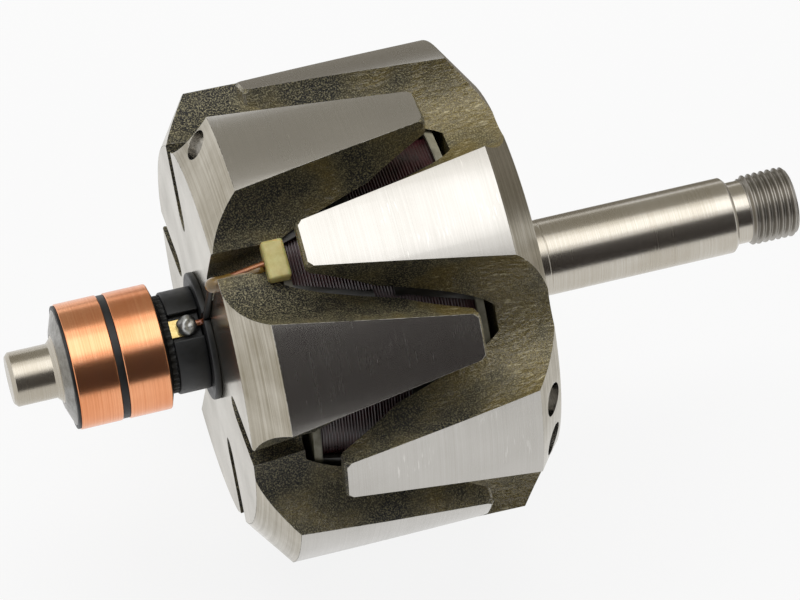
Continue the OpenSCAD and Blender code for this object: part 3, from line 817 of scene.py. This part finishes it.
# Plain moulded and punched pieces keep their CAD shape with eased edges
for node, material, radius in (("bobbin", GREY_NYLON, 0.25), ("terminal_collar", BLACK_MOULDING, 0.45),
                               ("insulating_washer", BLACK_MOULDING, 0.3), ("terminal_tab_a", BRASS, 0.12),
                               ("terminal_tab_b", BRASS, 0.12)):
    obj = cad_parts[node]
    obj.material_slots[0].material = material
    weld = obj.modifiers.new("weld", "WELD")
    weld.merge_threshold = WELD_DISTANCE * MM
    flat = obj.modifiers.new("flat", "DECIMATE")
    flat.decimate_type = "DISSOLVE"
    flat.angle_limit = FLAT_ANGLE
    edge = obj.modifiers.new("ease", "BEVEL")
    edge.width = radius * MM
    edge.segments = 3
    edge.limit_method = "ANGLE"
    edge.angle_limit = SHARP_ANGLE
    edge.harden_normals = True

# Floor, light and camera, in metres
FLOOR_HEIGHT = cad_box[0].z
FLOOR_SIZE = 6
FLOOR_GLOW = 0.88
FILL_LIGHT = 0.15
LIT_POINT = (-0.03, 0, 0)
CARD_LIFT = 0.004
CAMERA_PLACE = (-0.185413, -0.521853, 0.746946)
CAMERA_TURN = (35.959, -0.3217, -16.148)
CAMERA_LENS = 190.286


def sheet(name, width, depth):
    """Flat sheet on the scene's stage."""
    w, d = width / 2, depth / 2
    mesh = bpy.data.meshes.new(name)
    mesh.from_pydata([(-w, -d, 0), (w, -d, 0), (w, d, 0), (-w, d, 0)], [], [(0, 1, 2, 3)])
    obj = bpy.data.objects.new(name, mesh)
    scene.collection.objects.link(obj)
    return obj


def seen_directly(tree):
    """1 for rays from the camera, a mirror or glass."""
    path = add(tree, "ShaderNodeLightPath").outputs
    pair = arithmetic(tree, "MAXIMUM", path["Is Camera Ray"], path["Is Glossy Ray"])
    return arithmetic(tree, "MAXIMUM", pair, path["Is Transmission Ray"])


def paper_sweep():
    """White paper: matt, lit to plain white, with a soft shadow under the rotor."""
    material = bpy.data.materials.new("white_paper_sweep")
    tree = blank_tree(material)
    matt = add(tree, "ShaderNodeBsdfDiffuse", {"Color": hex_colour("#f4f4f4")}).outputs[0]
    white = add(tree, "ShaderNodeEmission", {"Color": hex_colour("#ffffff"), "Strength": 1.0}).outputs[0]
    share = arithmetic(tree, "MULTIPLY", seen_directly(tree), FLOOR_GLOW)
    both = add(tree, "ShaderNodeMixShader", {0: share, 1: matt, 2: white}).outputs[0]
    add(tree, "ShaderNodeOutputMaterial", {"Surface": both})
    return material


studio_floor = sheet("studio_floor", FLOOR_SIZE, FLOOR_SIZE)
studio_floor.location.z = FLOOR_HEIGHT
studio_floor.data.materials.append(paper_sweep())

world = bpy.data.worlds.new("studio")
scene.world = world
sky = blank_tree(world)
strength = between(sky, seen_directly(sky), 0.0, 1.0, FILL_LIGHT, 1.0)
air = add(sky, "ShaderNodeBackground", {"Color": hex_colour("#ffffff"), "Strength": strength})
add(sky, "ShaderNodeOutputWorld", {"Surface": air.outputs[0]})


def softbox(name, place, size, power):
    """Large soft lamp aimed at the middle of the rotor."""
    lamp = bpy.data.lights.new(name, "AREA")
    lamp.shape = "RECTANGLE"
    lamp.size, lamp.size_y = size
    lamp.energy = power
    obj = bpy.data.objects.new(name, lamp)
    obj.location = place
    obj.rotation_euler = (Vector(LIT_POINT) - Vector(place)).to_track_quat("-Z", "Y").to_euler()
    scene.collection.objects.link(obj)
    return obj


# One lamp mirrors in the metal and the other, further back, lights the dull surfaces
softbox("overhead_softbox", (-0.05, -0.05, 1.1), (1.8, 1.4), 8.1).visible_diffuse = False
softbox("far_softbox", (0.05, 0.6, 1.0), (1.5, 1.0), 12).visible_glossy = False


def studio_card(name, centre, size, shade, aim=LIT_POINT):
    """Glowing card that only mirrors in the steel: a painted reflection of a dark part of a studio."""
    card = sheet(name, *size)
    card.location = centre
    card.rotation_euler = (Vector(aim) - Vector(centre)).to_track_quat("Z", "Y").to_euler()
    material = bpy.data.materials.new(name)
    tree = blank_tree(material)
    glow = add(tree, "ShaderNodeEmission", {"Color": hex_colour(shade), "Strength": 1.0})
    add(tree, "ShaderNodeOutputMaterial", {"Surface": glow.outputs[0]})
    card.data.materials.append(material)
    card.visible_camera = card.visible_diffuse = card.visible_shadow = card.visible_transmission = False


# Painted reflections: a dark room on the camera side, a grey wall beyond the rotor and a grey table on the
# floor.
studio_card("dark_room_reflection", (0.2, -0.95, 0.62), (1.3, 1.7), "#383433")
studio_card("grey_wall_reflection", (0.2, 1.6, 1.5), (4.0, 2.9), "#a39f95")
studio_card("grey_table_reflection", (1.0, 0.75, FLOOR_HEIGHT + CARD_LIFT), (2.1, 1.36), "#8a857b",
            aim=(1.0, 0.75, 1.0))

# The camera stands where the photograph was taken from
camera = bpy.data.objects.new("camera", bpy.data.cameras.new("camera"))
camera.data.sensor_width = 36
camera.data.lens = CAMERA_LENS
camera.data.clip_start, camera.data.clip_end = 0.01, 50
camera.location = CAMERA_PLACE
camera.rotation_euler = [math.radians(a) for a in CAMERA_TURN]
scene.collection.objects.link(camera)
scene.camera = camera
